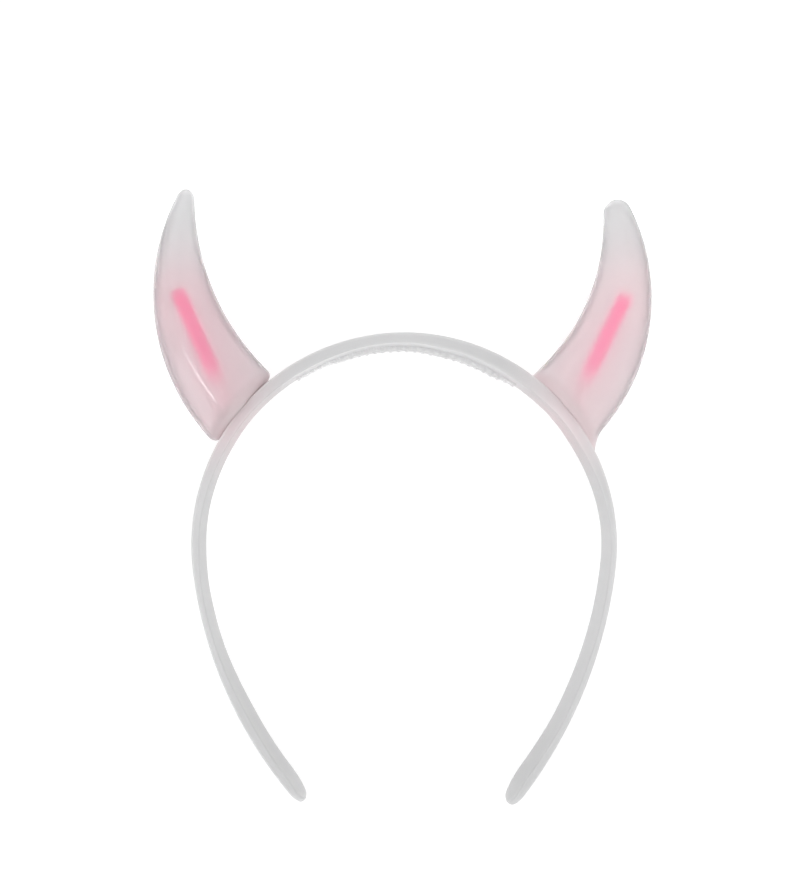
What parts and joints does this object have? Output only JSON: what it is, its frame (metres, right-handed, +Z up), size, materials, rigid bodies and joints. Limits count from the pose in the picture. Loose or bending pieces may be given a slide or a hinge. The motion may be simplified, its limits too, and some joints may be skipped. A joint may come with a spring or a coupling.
{
  "type": "light-up horn headband",
  "caption": "C-shaped milky plastic headband with comb teeth inside its crown and hollow curved horns on cups, each lit from inside by a pink glow stick.",
  "frame": {"origin": "centre of the underside of the whole object's box, on the surface that it lies on", "axes": "+X to the right as seen from the front, +Y from the open arm ends towards the horn tips, +Z up, out of the front"},
  "size_m": [0.1494, 0.184, 0.0187],
  "materials": {
    "milky_band": "smooth moulded plastic, milky and slightly see-through",
    "milky_horn": "thin glossy moulded shell, milky, with what is inside showing softly through",
    "pink_stick": "clear tube filled with glowing pink liquid"
  },
  "bodies": {
    "root": {"headband": "milky_band", "horn_left": "milky_horn", "horn_right": "milky_horn", "glow_stick_left": "pink_stick", "glow_stick_right": "pink_stick"}
  },
  "joints": []
}
